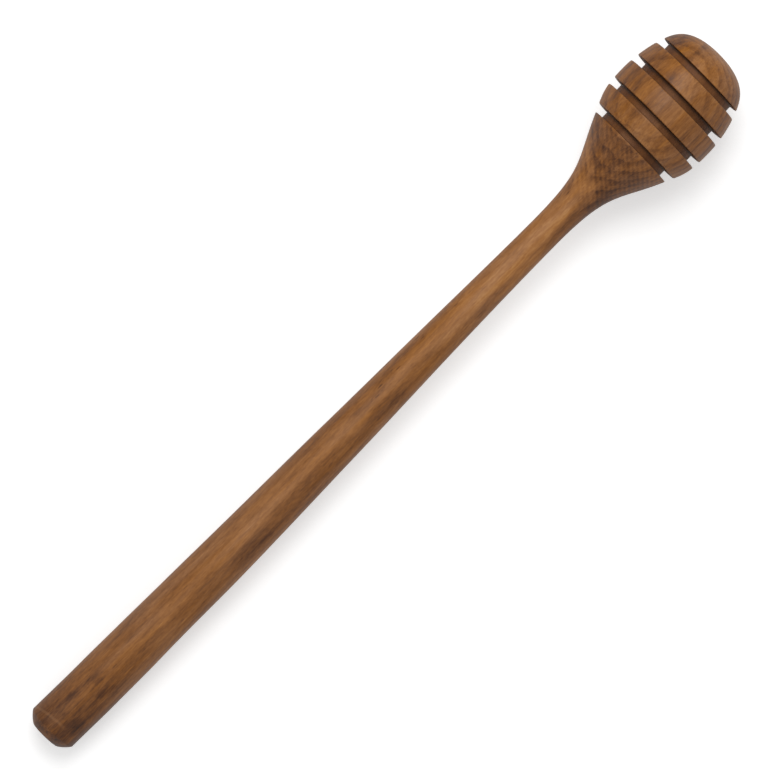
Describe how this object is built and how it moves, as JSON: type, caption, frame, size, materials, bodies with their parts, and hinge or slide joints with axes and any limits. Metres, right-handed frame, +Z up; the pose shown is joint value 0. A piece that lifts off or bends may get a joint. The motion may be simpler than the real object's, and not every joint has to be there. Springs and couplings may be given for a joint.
{
  "type": "honey dipper",
  "caption": "Long-handled wooden honey dipper: a slim tapered handle that flares into a round head ringed with deep parallel grooves, used to lift, carry and drizzle honey.",
  "frame": {"origin": "on the table under the middle of the dipper as it lies on its side, resting on the edge of its butt and the widest part of its head", "axes": "+X from the butt of the handle towards the tip of the head, along the table; +Z up. The dipper's own axis lies in the XZ plane and rises 2.2 degrees towards the head"},
  "size_m": [0.254, 0.0322, 0.0322],
  "materials": {
    "oiled_wood": "oiled, satin"
  },
  "bodies": {
    "root": {"turned_dipper": "oiled_wood"}
  },
  "joints": []
}
